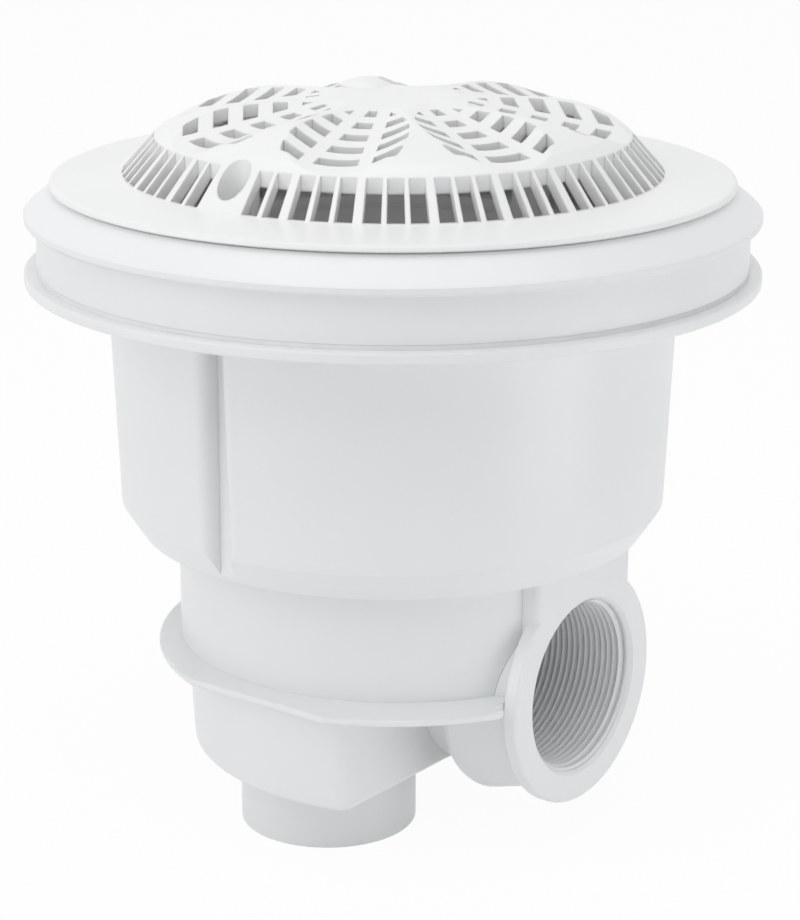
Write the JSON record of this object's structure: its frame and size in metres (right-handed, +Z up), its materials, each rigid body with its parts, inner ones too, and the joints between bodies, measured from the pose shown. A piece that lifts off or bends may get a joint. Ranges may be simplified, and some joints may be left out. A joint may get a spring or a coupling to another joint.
{
  "type": "pool main drain",
  "caption": "Round pool main drain: a flanged sump with a threaded side port, a frame ring, a screwed domed grille and a relief valve in the bottom port.",
  "frame": {"origin": "centre of the lower flange's underside, on the bucket's axis", "axes": "+Z up along the bucket's axis towards the pool; +X along the side port, out of its mouth; the cover's two screws lie on the Y axis and the spigot is towards -Y"},
  "size_m": [0.25, 0.25, 0.2518],
  "materials": {
    "white_plastic": "satin moulded",
    "cover_plastic": "satin moulded",
    "valve_plastic": "matte moulded",
    "gasket_rubber": "matte",
    "pale_rubber": "matte",
    "stainless_steel": "bright drawn",
    "spring_steel": "drawn wire",
    "insert_brass": "turned"
  },
  "bodies": {
    "drain": {"sump_bucket": "white_plastic", "sump_base": "white_plastic", "port_socket": "white_plastic", "flange_gasket": "pale_rubber", "frame_ring": "white_plastic", "frame_screws": "stainless_steel", "grille_cover": "cover_plastic", "cover_screws": "stainless_steel", "screw_inserts": "insert_brass", "screw_keepers": "gasket_rubber", "valve_body": "valve_plastic", "valve_gasket": "gasket_rubber", "valve_spring": "spring_steel"},
    "poppet": {"valve_poppet": "valve_plastic", "poppet_seal": "gasket_rubber", "spring_cup": "stainless_steel", "stem_clip": "spring_steel"}
  },
  "joints": [
    {"name": "poppet_lift", "type": "slide", "parent": "drain", "child": "poppet", "axis": [0, 0, 1], "range_m": [0, 0.007], "deforming": ["valve_spring"]}
  ]
}
